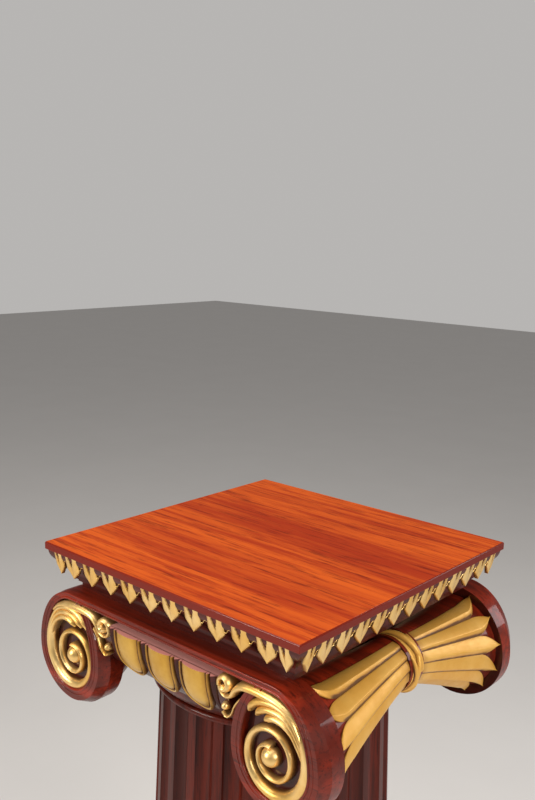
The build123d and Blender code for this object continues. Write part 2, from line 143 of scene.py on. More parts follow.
def smooth_value(values, place):
    """A value read from a list at a fractional place, on a Catmull-Rom curve."""
    last = len(values) - 1
    index = min(int(place), last - 1)
    share = place - index
    before, start, end, after = (values[min(max(index + step, 0), last)] for step in (-1, 0, 1, 2))
    return 0.5 * (
        2 * start
        + (end - before) * share
        + (2 * before - 5 * start + 4 * end - after) * share**2
        + (3 * start - before - 3 * end + after) * share**3
    )


# ---- a mesh gathered from closed solids ----
class Carving:
    """Closed solids gathered into one mesh. Each vertex has a patina, from 0 bright to 1 dark: brown
    antiquing in the hollows, with painted shade on the plates' walls, on the eggs' upper sides and on
    the fans next to the ties.
    """

    def __init__(self):
        self.points = []
        self.patina_and_shade = []
        self.faces = []
        self.finish = []

    def add(self, points, patina_and_shade, faces, finish=None):
        """Adds a solid; finish holds each face's material, the first one where it is left out."""
        start = len(self.points)
        self.points += points
        self.patina_and_shade += patina_and_shade
        self.faces += [tuple(start + index for index in face) for face in faces]
        self.finish += finish or [0] * len(faces)

    def plate(self, front, back, patina_and_shade, open_sides=(), end_finish=0):
        """A closed plate: a front grid, a back grid at full patina and the walls between their edges;
        that full darkness on the back and the walls is painted shade.
        A side in open_sides, where the grid folds onto itself, gets no wall. end_finish is the
        material of the first and last rows' walls."""
        rows, columns = len(front), len(front[0])
        layer = rows * columns
        points = [point for row in front + back for point in row]
        dark = [value for row in patina_and_shade for value in row]

        def at(side, row, column):
            return side * layer + row * columns + column

        faces = []
        for row in range(rows - 1):
            for column in range(columns - 1):
                corners = ((row, column), (row, column + 1), (row + 1, column + 1), (row + 1, column))
                faces.append([at(0, *corner) for corner in corners])
                faces.append([at(1, *corner) for corner in reversed(corners)])
        edges = {
            "first_row": [(0, column) for column in range(columns)],
            "last_row": [(rows - 1, column) for column in range(columns)],
            "first_column": [(row, 0) for row in range(rows)],
            "last_column": [(row, columns - 1) for row in range(rows)],
        }
        ends = []
        for side, edge in edges.items():
            if side in open_sides:
                continue
            walls = faces if side.endswith("column") else ends
            for one, other in zip(edge, edge[1:]):
                walls.append([at(0, *one), at(0, *other), at(1, *other), at(1, *one)])
        finish = [0] * len(faces) + [end_finish] * len(ends)
        # The back grid gets full patina, which is painted shade on the plate's walls.
        self.add(points, dark + [1.0] * len(dark), faces + ends, finish)

    def sweep(self, rings, patina_and_shade, closed=False):
        """A solid through rings of points, capped at both ends unless it closes on itself."""
        count = len(rings[0])
        points = [point for ring in rings for point in ring]
        dark = [value for ring in patina_and_shade for value in ring]
        faces = []
        for index in range(len(rings) if closed else len(rings) - 1):
            near = index * count
            far = (index + 1) % len(rings) * count
            for side in range(count):
                other = (side + 1) % count
                faces.append([near + side, near + other, far + other, far + side])
        if not closed:
            faces.append(list(range(count)))
            faces.append(list(range((len(rings) - 1) * count, len(rings) * count)))
        self.add(points, dark, faces)

    def moved(self, matrix):
        """A copy of the carving, turned or mirrored by a matrix."""
        copy = Carving()
        copy.points = [matrix @ point for point in self.points]
        copy.patina_and_shade = list(self.patina_and_shade)
        copy.faces = list(self.faces)
        copy.finish = list(self.finish)
        return copy

    def build(self, name, slot, finishes, replaced=(), crease=50):
        """Makes the object, with its normals, materials and place in the frame."""
        mesh = bpy.data.meshes.new(name)
        mesh.from_pydata(self.points, [], self.faces)
        mesh.attributes.new("patina_and_shade", "FLOAT", "POINT").data.foreach_set("value", self.patina_and_shade)
        mesh.polygons.foreach_set("material_index", self.finish)
        form = bmesh.new()
        form.from_mesh(mesh)
        bmesh.ops.remove_doubles(form, verts=form.verts, dist=weld_gap)
        bmesh.ops.dissolve_degenerate(form, edges=form.edges, dist=shortest_edge)
        bmesh.ops.recalc_face_normals(form, faces=form.faces)
        form.to_mesh(mesh)
        form.free()
        mesh.shade_smooth()
        mesh.set_sharp_from_angle(angle=radians(crease))
        for finish in finishes:
            mesh.materials.append(finish)
        piece = bpy.data.objects.new(name, mesh)
        bpy.context.scene.collection.objects.link(piece)
        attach(piece, "root")
        if replaced:
            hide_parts(*replaced)
        return piece


MIRROR_X = Matrix.Scale(-1, 4, Vector((1, 0, 0)))
MIRROR_Y = Matrix.Scale(-1, 4, Vector((0, 1, 0)))
HALF_TURN = Matrix.Rotation(pi, 4, "Z")
SIDE_TURNS = {
    side: Matrix.Rotation(quarter * pi / 2, 4, "Z")
    for quarter, side in enumerate(("front", "right", "back", "left"))
}
FACE_TURNS = {"front": Matrix.Identity(4), "back": HALF_TURN}
CORNERS = {
    "right_front": Matrix.Identity(4),
    "left_front": MIRROR_X,
    "right_back": MIRROR_Y,
    "left_back": HALF_TURN,
}


# ---- materials ----
class Finish:
    """A node material with its principled shader and short ways to add nodes."""

    def __init__(self, name, roughness, coat=0.0, coat_roughness=0.03):
        self.material = bpy.data.materials.new(name)
        self.material.use_nodes = True
        self.tree = self.material.node_tree
        self.shader = self.tree.nodes["Principled BSDF"]
        self.shader.inputs["Roughness"].default_value = roughness
        self.shader.inputs["Coat Weight"].default_value = coat
        self.shader.inputs["Coat Roughness"].default_value = coat_roughness
        self.place = self.tree.nodes.new("ShaderNodeTexCoord").outputs["Object"]

    def link(self, output, socket):
        self.tree.links.new(output, socket)
        return socket

    def noise(self, scale, stretch=(1, 1, 1), detail=4, roughness=0.6, distortion=0.0):
        """Noise in the row frame; stretch multiplies the scale along each axis."""
        mapping = self.tree.nodes.new("ShaderNodeMapping")
        mapping.inputs["Scale"].default_value = stretch
        self.link(self.place, mapping.inputs["Vector"])
        node = self.tree.nodes.new("ShaderNodeTexNoise")
        node.inputs["Scale"].default_value = scale
        node.inputs["Detail"].default_value = detail
        node.inputs["Roughness"].default_value = roughness
        node.inputs["Distortion"].default_value = distortion
        self.link(mapping.outputs["Vector"], node.inputs["Vector"])
        return node.outputs["Fac"]

    def steps(self, value, low, high, start=0.0, end=1.0):
        """A smooth rise from start to end as value goes from low to high."""
        node = self.tree.nodes.new("ShaderNodeMapRange")
        node.interpolation_type = "SMOOTHSTEP"
        for name, number in (("From Min", low), ("From Max", high), ("To Min", start), ("To Max", end)):
            node.inputs[name].default_value = number
        self.link(value, node.inputs["Value"])
        return node.outputs["Result"]

    def mix(self, factor, first, second):
        """Mixes two colours, each a tuple or an output."""
        node = self.tree.nodes.new("ShaderNodeMix")
        node.data_type = "RGBA"
        self.link(factor, node.inputs["Factor"])
        for socket, colour in ((node.inputs[6], first), (node.inputs[7], second)):
            if isinstance(colour, tuple):
                socket.default_value = (*colour, 1)
            else:
                self.link(colour, socket)
        return node.outputs[2]

    def sum(self, first, second, operation="ADD"):
        """The sum, or another operation, of two values, each a number or an output."""
        node = self.tree.nodes.new("ShaderNodeMath")
        node.operation = operation
        for socket, value in zip(node.inputs, (first, second)):
            if isinstance(value, (int, float)):
                socket.default_value = value
            else:
                self.link(value, socket)
        return node.outputs["Value"]

    def part_of(self, vector, axis):
        """One component of a vector output."""
        node = self.tree.nodes.new("ShaderNodeSeparateXYZ")
        self.link(vector, node.inputs["Vector"])
        return node.outputs[axis]

    def facing(self, axis, share, both=False):
        """share on faces that look along an axis, or either way along it, and 0 on the others."""
        normal = self.part_of(self.tree.nodes.new("ShaderNodeNewGeometry").outputs["Normal"], axis)
        if both:
            normal = self.sum(normal, 0, "ABSOLUTE")
        return self.steps(normal, 0.8, 0.97, 0.0, share)

    def bump(self, height, depth, strength=1.0):
        """Bump of a height that runs from 0 to 1 and stands for depth metres."""
        node = self.tree.nodes.new("ShaderNodeBump")
        node.inputs["Strength"].default_value = strength
        node.inputs["Distance"].default_value = depth
        self.link(height, node.inputs["Height"])
        self.link(node.outputs["Normal"], self.shader.inputs["Normal"])

    def colour(self, output):
        self.link(output, self.shader.inputs["Base Color"])


def lacquered_wood(name, light, dark, pore, grain, coat=0.5, shelf=None, edge=None, recess=None):
    """Mahogany under gloss lacquer. grain is the stretch of its figure, small along the grain.
    The shelf tint is painted light on the faces that look up, the edge tint painted shade on those that
    don't and the recess tint painted shade on the floors of the recesses."""
    finish = Finish(name, 0.45, coat, 0.06)
    finish.shader.inputs["Specular IOR Level"].default_value = 0.12
    figure = finish.noise(9, grain, detail=6, distortion=0.8)
    streak = finish.noise(60, grain, detail=5, roughness=0.7)
    fine = finish.noise(150, grain, detail=3, roughness=0.8)
    body = finish.mix(finish.steps(figure, 0.36, 0.64), dark, light)
    streaked = finish.mix(finish.steps(streak, 0.44, 0.62, 0.0, 0.85), body, dark)
    surface = finish.mix(finish.steps(fine, 0.52, 0.68, 0.0, 0.7), streaked, pore)
    # Painted light: faces that look up get the lighter, pinker shelf tint.
    if shelf:
        surface = finish.mix(finish.facing("Z", 0.9), surface, shelf)
    # Painted shade: faces that don't look up get the darker edge colour.
    if edge:
        surface = finish.mix(finish.facing("Z", 1.0), edge, surface)
    # Painted shade: floors deep in the recesses, facing front or back, get the darker recess colour.
    if recess:
        depth = finish.sum(finish.part_of(finish.place, "Y"), 0, "ABSOLUTE")
        recess_shade_mask = finish.steps(depth, recess_floor + 1.5 * mm, recess_floor + 3 * mm, 1.0, 0.0)
        floor = finish.sum(recess_shade_mask, finish.facing("Y", 0.85, True), "MULTIPLY")
        surface = finish.mix(floor, surface, recess)
    finish.colour(surface)
    peel = finish.noise(60, detail=2)
    finish.bump(finish.sum(finish.sum(fine, 0.25, "MULTIPLY"), peel), 0.1 * mm)
    return finish.material


def gilding(name, gold, bright, brown, roughness, metallic):
    """Gold leaf or gold paint over gesso, with brown antiquing where the patina is high, and painted
    shade where the patina stands for shade.
    """
    finish = Finish(name, roughness, coat=0.1, coat_roughness=0.2)
    # The patina darkens the gold and lowers its metal: real antiquing in the hollows, painted shade on
    # walls, egg sides and near the ties.
    antiquing_and_shade = finish.tree.nodes.new("ShaderNodeAttribute")
    antiquing_and_shade.attribute_name = "patina_and_shade"
    cloud = finish.noise(45, detail=5)
    grime_and_shade = finish.sum(antiquing_and_shade.outputs["Fac"], finish.steps(cloud, 0.35, 0.7, -0.16, 0.16))
    share = finish.steps(grime_and_shade, 0.35, 0.8)
    leaf = finish.mix(finish.steps(finish.noise(18, detail=6), 0.35, 0.65), gold, bright)
    warm = finish.mix(finish.steps(antiquing_and_shade.outputs["Fac"], 0.0, 0.6, 0.0, 0.55), leaf, brown)
    finish.colour(finish.mix(share, warm, tuple(part * 0.35 for part in brown)))
    dirt_and_shade = finish.sum(share, 0.9, "MULTIPLY")
    finish.link(finish.sum(metallic, dirt_and_shade, "SUBTRACT"), finish.shader.inputs["Metallic"])
    rough = finish.sum(finish.steps(finish.noise(140, detail=3), 0.3, 0.7, -0.06, 0.1), roughness)
    finish.link(rough, finish.shader.inputs["Roughness"])
    finish.bump(finish.noise(110, detail=3), 0.2 * mm, 0.4)
    return finish.material


def plain(name, first, second, scale, roughness, metallic=0.0):
    """A quiet material with a little variation, for hidden and small pieces."""
    finish = Finish(name, roughness)
    finish.shader.inputs["Metallic"].default_value = metallic
    finish.colour(finish.mix(finish.steps(finish.noise(scale), 0.35, 0.65), first, second))
    finish.bump(finish.noise(scale * 4), 0.1 * mm, 0.5)
    return finish.material


ALONG_X = (0.08, 1.6, 1.6)
ALONG_Z = (1.6, 1.6, 0.08)
# The top's edge colour is painted shade on its sides.
top_wood = lacquered_wood(
    "top_wood", (0.56, 0.088, 0.008), (0.32, 0.026, 0.004), (0.12, 0.008, 0.003), ALONG_X, 0.3,
    edge=(0.15, 0.01, 0.003),
)
frieze_wood = lacquered_wood(
    "frieze_wood", (0.1, 0.011, 0.005), (0.045, 0.005, 0.003), (0.014, 0.002, 0.002), ALONG_X, 0.3
)
# The panels' recess colour is painted shade on their deep floors.
panel_wood = lacquered_wood(
    "panel_wood", (0.27, 0.022, 0.006), (0.1, 0.009, 0.003), (0.03, 0.004, 0.002), ALONG_X, 0.4,
    recess=(0.03, 0.005, 0.003),
)
EGG_BOARD_TONES = (0.12, 0.014, 0.006), (0.05, 0.006, 0.003), (0.02, 0.003, 0.003)
# The shelf tints are painted light on the faces that look up; the ledge's is brighter to make up for
# the shade under the board above.
shelf_wood_painted_light = lacquered_wood("shelf_wood_painted_light", *EGG_BOARD_TONES, ALONG_X, shelf=(0.5, 0.2, 0.17))
ledge_wood_painted_light = lacquered_wood("ledge_wood_painted_light", *EGG_BOARD_TONES, ALONG_X, shelf=(0.8, 0.36, 0.32))
shaft_wood = lacquered_wood(
    "shaft_wood", (0.11, 0.01, 0.003), (0.045, 0.005, 0.002), (0.02, 0.003, 0.002), ALONG_Z, 0.2
)
core_wood = plain("core_wood", (0.36, 0.21, 0.11), (0.28, 0.15, 0.07), 40, 0.6)
leaf_gold = gilding("leaf_gold", (0.76, 0.45, 0.11), (0.86, 0.6, 0.25), (0.3, 0.11, 0.02), 0.34, 0.78)
egg_gold = gilding("egg_gold", (0.54, 0.29, 0.035), (0.66, 0.4, 0.08), (0.3, 0.11, 0.02), 0.36, 0.75)
fan_gold = gilding("fan_gold", (0.7, 0.36, 0.055), (0.76, 0.43, 0.09), (0.32, 0.12, 0.02), 0.46, 0.35)
steel = plain("steel", (0.55, 0.55, 0.56), (0.42, 0.42, 0.43), 90, 0.3, 1.0)
felt = plain("felt", (0.12, 0.09, 0.07), (0.07, 0.05, 0.04), 300, 0.95)

SLOT_FINISH = {
    "top_mahogany": top_wood,
    "dark_mahogany": frieze_wood,
    "core_wood": core_wood,
    "antiqued_gilding": leaf_gold,
    "fan_gilding": fan_gold,
    "rod_steel": steel,
    "glide_felt": felt,
}
slot_of = {part["node"]: part["material_slot"] for part in frame["record"]["subparts"]}
for node, piece in nodes.items():
    finish = SLOT_FINISH[slot_of[node]]
    if node.startswith(("volute_panel", "bolster", "tie_collars")):
        finish = panel_wood
    if node.startswith("egg_board"):
        finish = ledge_wood_painted_light
    if node.startswith(("shaft_stave", "base_", "plinth_block", "neck_ring", "echinus")):
        finish = shaft_wood
    piece.data.materials.clear()
    piece.data.materials.append(finish)
    if node == "top_board":
        piece.modifiers.new("joined", "WELD").merge_threshold = shortest_edge
        rounding = piece.modifiers.new("soft_edges", "BEVEL")
        rounding.width = edge_softening
        rounding.segments = 3
        rounding.angle_limit = radians(40)
        rounding.harden_normals = True


# ---- gilded leaves on the ogee ----
ogee_radius = ((ogee_height / 2) ** 2 + (ogee_draw / 2) ** 2) / ogee_draw
ogee_turn = asin(ogee_height / 2 / ogee_radius)


def on_ogee(across, down, proud):
    """A point on the front ogee: down runs from 0 at its crest to 1 at its foot."""
    if down < 0.5:
        angle = 2 * down * ogee_turn
        reach = ogee_radius + proud
        depth = ogee_radius - reach * cos(angle)
        drop = reach * sin(angle)
    else:
        angle = (2 - 2 * down) * ogee_turn
        reach = ogee_radius - proud
        depth = ogee_radius * (1 - 2 * cos(ogee_turn)) + reach * cos(angle)
        drop = 2 * ogee_radius * sin(ogee_turn) - reach * sin(angle)
    return Vector((across, depth - ogee_crest, board_base - drop))


def on_leaf(across, down, proud):
    """A point on the straight face of a leaf that leans inward from the ogee's crest."""
    depth = leaf_set + leaf_lean * down - proud
    return Vector((across, depth - ogee_crest, board_base - down * ogee_height))


def behind_leaf(across, down):
    """A point on the leaf's back: on the ogee near the crest, free of it below."""
    ogee = on_ogee(across, down, -1 * mm)
    free = on_leaf(across, down, -leaf_thickness)
    return ogee if ogee.y < free.y else free


def carve_leaf(carving, centre, half_width):
    """One tulip leaf: two lobes parted by a slit, joined above a pointed tip."""
    half_columns = (0.08, 0.16, 0.27, 0.4, 0.6, 0.8, 0.93, 1)
    columns = [-column for column in reversed(half_columns)] + [0, *half_columns]
    rows = [index / 20 for index in range(21)]
    front, back, patina_and_shade = [], [], []
    for down in rows:
        width = half_width * (0.94 + 0.06 * shade(down, 0.1, 0.5))
        width *= 1 - max(0.0, (down - 0.58) / 0.42) ** 1.15
        slit = 1 - shade(down, 0.34, 0.5)
        part = 0.1 + 0.26 * (1 - shade(down, 0.0, 0.5))
        front_row, back_row, dark_row = [], [], []
        for column in columns:
            side = abs(column)
            rise = 1 - side**5
            notch = slit * (1 - shade(side, part - 0.1, part))
            crease = (1 - slit) * (1 - shade(side, 0.0, 0.16)) * (1 - shade(down, 0.6, 0.9))
            height = (0.4 + 2.1 * rise - 3.6 * notch - 0.6 * crease) * mm
            across = centre + column * width
            front_row.append(on_leaf(across, down * leaf_drop, height))
            back_row.append(behind_leaf(across, down * leaf_drop))
            dark_row.append(max(min(1.0, notch * 1.6), 0.3 * crease, 0.25 * shade(side, 0.88, 1.0)))
        front.append(front_row)
        back.append(back_row)
        patina_and_shade.append(dark_row)
    carving.plate(front, back, patina_and_shade)


def carve_wing(carving, start, end):
    """The small curl beside a leaf's shoulder."""
    rings, patina_and_shade = [], []
    turns = [2 * pi * corner / 8 for corner in range(8)]
    for index in range(9):
        share = index / 8
        across = start + (end - start) * share
        down = 0.38 - 0.1 * share + 0.06 * sin(2 * pi * share)
        radius = (0.4 + 0.5 * sin(pi * share)) * mm
        centre = on_leaf(across, down, 0)
        rings.append([centre + UP * radius * cos(turn) + OUT * radius * sin(turn) for turn in turns])
        patina_and_shade.append([0.35 - 0.35 * sin(turn) for turn in turns])
    carving.sweep(rings, patina_and_shade)


def leaf_row(count):
    """A row of leaves on the front moulding: count full ones and a narrow one at each mitre."""
    row = Carving()
    pitch = 2 * outer_leaf / (count - 1)
    half = leaf_fill * pitch / 2
    narrow = corner_leaf_share * half
    leaves = [(-corner_leaf, narrow)]
    leaves += [(index * pitch - outer_leaf, half) for index in range(count)]
    leaves += [(corner_leaf, narrow)]
    for centre, half_width in leaves:
        carve_leaf(row, centre, half_width)
    for (one, one_half), (other, other_half) in zip(leaves, leaves[1:]):
        carve_wing(row, one + 0.9 * one_half, other - 1.02 * other_half)
    return row


front_row = leaf_row(front_leaf_count)
side_row = leaf_row(side_leaf_count)
for side, turn in SIDE_TURNS.items():
    row = front_row if side in ("front", "back") else side_row
    row.moved(turn).build(
        f"carved_leaves_{side}", "antiqued_gilding", [leaf_gold], [f"gilt_leaves_{side}"]
    )


# ---- strands: carved bands with a domed top, in the plane of the volutes ----
def strand(carving, path, half_widths, heights, floor, sink=0.0, steps=6, dark=0.9):
    """A domed band along points (x, z). floor is its foot's distance from the middle plane, sink
    how far the band goes below that, and dark the patina of its flanks."""
    count = len(path) * steps
    places = [index * (len(path) - 1) / (count - 1) for index in range(count)]

    def at(place):
        x = smooth_value([point[0] for point in path], place)
        z = smooth_value([point[1] for point in path], place)
        return Vector((x, -floor, z))

    rings, patina_and_shade = [], []
    for place in places:
        share = place / (len(path) - 1)
        width = smooth_value(half_widths, share * (len(half_widths) - 1))
        height = smooth_value(heights, share * (len(heights) - 1))
        ahead = at(min(place + 0.05, len(path) - 1)) - at(max(place - 0.05, 0))
        across = ahead.cross(OUT).normalized()
        ring, tone = [], []
        for corner in range(13):
            turn = pi * corner / 12
            rise = sin(turn) ** 0.75
            ring.append(at(place) + across * width * cos(turn) + OUT * height * rise)
            tone.append(dark * (1 - shade(rise, 0.2, 0.75)))
        ring.append(at(place) - across * width - OUT * (sink + 0.5 * mm))
        ring.append(at(place) + across * width - OUT * (sink + 0.5 * mm))
        rings.append(ring)
        patina_and_shade.append(tone + [dark, dark])
    carving.sweep(rings, patina_and_shade)


def round_knob(carving, centre, radius, height, floor, dark=0.9):
    """A domed button at (x, z) on the floor."""
    stations, corners = 10, 28
    turns = [2 * pi * corner / corners for corner in range(corners)]
    rings, patina_and_shade = [], []
    for station in range(stations + 1):
        angle = pi / 2 * station / stations
        reach = radius * cos(angle) + 0.02 * mm
        level = -floor - height * sin(angle) ** 0.9
        ring = [(centre[0] + reach * cos(turn), level, centre[1] + reach * sin(turn)) for turn in turns]
        rings.append([Vector(point) for point in ring])
        patina_and_shade.append([dark * (1 - shade(sin(angle) ** 0.9, 0.1, 0.5))] * corners)
    low = [point - OUT * 2 * mm for point in rings[0]]
    carving.sweep([low] + rings, [[dark] * corners] + patina_and_shade)


# ---- gilded spirals, acanthus lobes and knobs ----
# The spiral's radius at each quarter turn inward, in millimetres, and its lobes' lines as turns
# and radii.
SPIRAL_RADII = (59, 46, 42.5, 35, 29, 25, 25, 18.5, 12)
LOBES = (
    ((-37, 53), (-29, 57), (-15, 60), (5, 61.5), (25, 59.5), (45, 53.5), (62, 49)),
    ((-27, 46.5), (-19, 50), (-5, 53), (14, 54.5), (32, 53), (50, 49.5), (66, 46.5)),
    ((-13, 40.5), (-6, 43.5), (6, 46.5), (21, 48), (38, 47.5), (54, 45.5), (70, 43.5)),
)


def polar(turn, radius):
    """A point of the right volute: turn in degrees clockwise from the top, radius in millimetres."""
    angle = radians(90 - turn)
    return eye_spread + radius * mm * cos(angle), eye_height + radius * mm * sin(angle)


def volute_carving():
    """The right front volute's spiral with the lobes at its top."""
    carved = Carving()
    path = [polar(turn, smooth_value(SPIRAL_RADII, turn / 90)) for turn in range(20, 721, 10)]
    widths = lengths(6.5, 8.5, 6.3, 4.5, 3.8, 3.6, 3.3, 2.8, 3.0)
    heights = lengths(11, 12, 10.5, 9, 9, 9.5, 9, 10, 12)
    strand(carved, path, widths, heights, recess_floor, steps=2)
    lobe_widths = lengths(3.2, 5.0, 5.2, 4.8, 4.0, 3.0, 1.4)
    lobe_heights = lengths(10, 13, 13.5, 13.5, 13, 12.5, 10)
    for lobe in LOBES:
        path = [polar(*point) for point in lobe]
        strand(carved, path, lobe_widths, lobe_heights, recess_floor, dark=0.6)
    return carved


def knob_carving():
    """The knob in the right front volute's eye, a little inward of the spiral's centre."""
    carved = Carving()
    place = (eye_spread - 2.6 * mm, eye_height - 1 * mm)
    round_knob(carved, place, knob_radius, knob_height, recess_floor)
    return carved


spiral = volute_carving()
knob = knob_carving()
knobs = Carving()
for corner, place in CORNERS.items():
    side, face = corner.split("_")
    name = f"{face}_{side}"
    spiral.moved(place).build(
        f"carved_spiral_{name}", "antiqued_gilding", [leaf_gold], [f"gilt_spiral_{name}"]
    )
    copy = knob.moved(place)
    knobs.add(copy.points, copy.patina_and_shade, copy.faces)
knobs.build("carved_eye_knobs", "antiqued_gilding", [leaf_gold], ["gilt_eye_buttons"])


# ---- gilded husks ----
def husk_carving():
    """The right front husk: a scroll, a leaf sweeping over the volute, a thin leaf and a ball.
    Its places are shares of the board's half width, from the middle of the board's top."""
    carved = Carving()

    def places(*shares):
        return [(x * board_half, board_high.z + z * board_half) for x, z in shares]

    curl = []
    for index in range(11):
        turn = radians(200 - index * 36)
        reach = 0.044 - 0.0028 * index
        curl.append((0.487 + reach * cos(turn), -0.397 + reach * sin(turn)))
    leaf = (
        (0.443, -0.39), (0.449, -0.432), (0.482, -0.461), (0.527, -0.45), (0.556, -0.408),
        (0.605, -0.372), (0.68, -0.36), (0.76, -0.36), (0.84, -0.369), (0.92, -0.397), (0.985, -0.445),
    )
    thin = (
        (0.462, -0.563), (0.492, -0.583), (0.528, -0.553), (0.556, -0.492), (0.6, -0.441),
        (0.665, -0.408), (0.73, -0.397),
    )
    strand(
        carved, places(*curl), lengths(3.0, 4.2, 4.5, 4.0), lengths(11, 13, 14, 15),
        recess_floor + 1 * mm, sink=8 * mm, steps=3, dark=0.7,
    )
    strand(
        carved, places(*leaf), lengths(1.6, 2.4, 3.2, 5.4, 6.2, 5.0, 2.4),
        lengths(10, 10, 11, 12, 13, 12, 9), recess_floor + 1 * mm, sink=4 * mm, dark=0.7,
    )
    strand(
        carved, places(*thin), lengths(1.3, 1.7, 1.8, 2.2, 2.0, 1.2), lengths(8, 8, 9, 9, 9, 8),
        recess_floor, sink=8 * mm, dark=0.6,
    )
    ball = places((0.476, -0.528))[0]
    round_knob(carved, ball, 5 * mm, 9 * mm, recess_floor + 1 * mm, 0.7)
    return carved


husk = husk_carving()
for corner, place in CORNERS.items():
    side, face = corner.split("_")
    husk.moved(place).build(
        f"carved_husk_{face}_{side}", "antiqued_gilding", [leaf_gold], [f"gilt_husk_{face}_{side}"]
    )


# ---- eggs and darts on the ovolo ----
ovolo_radius = (egg_height**2 + ovolo_draw**2) / (2 * ovolo_draw)
ovolo_turn = asin(egg_height / ovolo_radius)


def on_ovolo(across, down, proud):
    """A point on the front ovolo: down runs from 0 at the shelf to 1 at its foot."""
    reach = ovolo_radius + proud
    angle = down * ovolo_turn
    depth = ovolo_radius - reach * cos(angle)
    return Vector((across, depth - egg_front, band_base - reach * sin(angle)))


def carve_egg(carving, centre):
    """A flat-topped egg inside its raised shell, as a grid from its middle line out to its edge."""
    bend, foot, groove_place = 0.46, 0.995, 0.82
    shares = (0, 0.15, 0.3, 0.45, 0.58, 0.68, 0.75, 0.79, 0.82, 0.85, 0.88, 0.92, 0.96, 0.985, 1)
    turns = [pi * index / 26 for index in range(27)]
    line = [(-1.0, bend * index / 8) for index in range(8)]
    line += [(-cos(turn), bend + (foot - bend) * sin(turn)) for turn in turns]
    line += [(1.0, bend * (7 - index) / 8) for index in range(8)]
    front, back, patina_and_shade = [], [], []
    for across, down in line:
        spine = min(down, bend)
        front_row, back_row, dark_row = [], [], []
        for share in shares:
            x = centre + across * egg_half_width * share
            level = spine + (down - spine) * share
            height = 0.3
            if share < 0.8:
                height = 1.0 + 7.0 * sqrt(max(0.0, 1 - (share / 0.84) ** 2.4))
            elif share > groove_place:
                height += 5.2 * sin(pi * min(1.0, (share - groove_place) / (1 - groove_place))) ** 0.6
            height *= 1 - 0.2 * shade(level, 0.6, 1.0)
            front_row.append(on_ovolo(x, level, height * mm))
            back_row.append(on_ovolo(x, level, -1.2 * mm))
            groove = 1 - shade(abs(share - groove_place), 0.015, 0.07)
            # Darker on the egg's sides above its middle: painted shade.
            flank_shade = 0.42 * shade(abs(across) * share, 0.45, 0.8) * (1 - shade(level, 0.55, 0.9))
            dark_row.append(max(groove, flank_shade, shade(share, 0.965, 1.0)))
        front.append(front_row)
        back.append(back_row)
        patina_and_shade.append(dark_row)
    carving.plate(front, back, patina_and_shade, open_sides=("first_column",), end_finish=1)


def carve_dart(carving, centre):
    """A narrow ridge between two eggs, pointed at its foot."""
    columns = (-1, -0.6, -0.25, 0, 0.25, 0.6, 1)
    front, back, patina_and_shade = [], [], []
    for index in range(13):
        down = index / 12 * dart_drop
        width = dart_half_width * (1 - 0.85 * down)
        places = [centre + column * width for column in columns]
        heights = [(6.0 * (1 - down) * (1 - abs(column)) + 0.3) * mm for column in columns]
        front.append([on_ovolo(across, down, height) for across, height in zip(places, heights)])
        back.append([on_ovolo(across, down, -1 * mm) for across in places])
        patina_and_shade.append([abs(column) for column in columns])
    carving.plate(front, back, patina_and_shade)


eggs, darts = Carving(), Carving()
for index in (-1, 0, 1):
    carve_egg(eggs, index * egg_pitch)
for index in (-1.5, -0.5, 0.5, 1.5):
    carve_dart(darts, index * egg_pitch)
for face, turn in FACE_TURNS.items():
    eggs.moved(turn).build(
        f"carved_eggs_{face}", "antiqued_gilding", [egg_gold, shelf_wood_painted_light], [f"gilt_eggs_{face}"]
    )
    darts.moved(turn).build(f"carved_darts_{face}", "dark_mahogany", [shelf_wood_painted_light])


# ---- beads along the volute panels' rims ----
def rim_path(grow):
    """Right half of the rim's line, from the middle of the band round to the inner side's top."""
    level = capital_top - rim_top - grow
    path = [(share * eye_spread, level) for share in (0, 0.2, 0.4, 0.6, 0.8)]
    top = volute_top - rim_top - grow
    for turn in range(90, -256, -6):
        across, up = cos(radians(turn)), sin(radians(turn))
        wide = (volute_outer if across > 0 else volute_inner) - rim_side - grow
        high = top if up > 0 else volute_bottom - rim_side - grow
        path.append((eye_spread + wide * across, eye_height + high * up))
    return path


def rim_beads():
    """Two fine beads that follow the front panel's rim over both volutes."""
    beads = Carving()
    for grow, width, height in ((-1.9 * mm, 1.5 * mm, 1.5 * mm), (-7.4 * mm, 1.0 * mm, 0.9 * mm)):
        right = rim_path(grow)
        whole = [(-x, z) for x, z in reversed(right[1:])] + right
        strand(beads, whole, [width, width], [height, height], volute_face - 0.3 * mm, steps=2, dark=0)
    return beads


beads = rim_beads()
for face, turn in FACE_TURNS.items():
    beads.moved(turn).build(f"rim_beads_{face}", "dark_mahogany", [panel_wood])


# ---- gilded fans on the bolsters ----
def roll_share(reach):
    """How far out a distance from the middle plane lies, from 0 at the tie to 1 at the panel."""
    return max(0.0, (reach - waist_half) / (panel_back - waist_half))


def roll_section(reach):
    """Centre and radius of a bolster at a distance from the middle plane."""
    share = roll_share(reach)
    end_height = roll_low.z + roll_end_radius
    outset = waist_outset + (roll_end_outset - waist_outset) * share
    level = waist_height + (end_height - waist_height) * share
    return outset, level, waist_radius + (roll_end_radius - waist_radius) * share**flare_power


def on_roll(turn, reach, proud):
    """A point on the right front bolster; turn is in degrees, anticlockwise seen from the front."""
    outset, level, radius = roll_section(reach)
    angle = radians(turn)
    radius += proud
    return Vector((outset + radius * cos(angle), -reach, level + radius * sin(angle)))


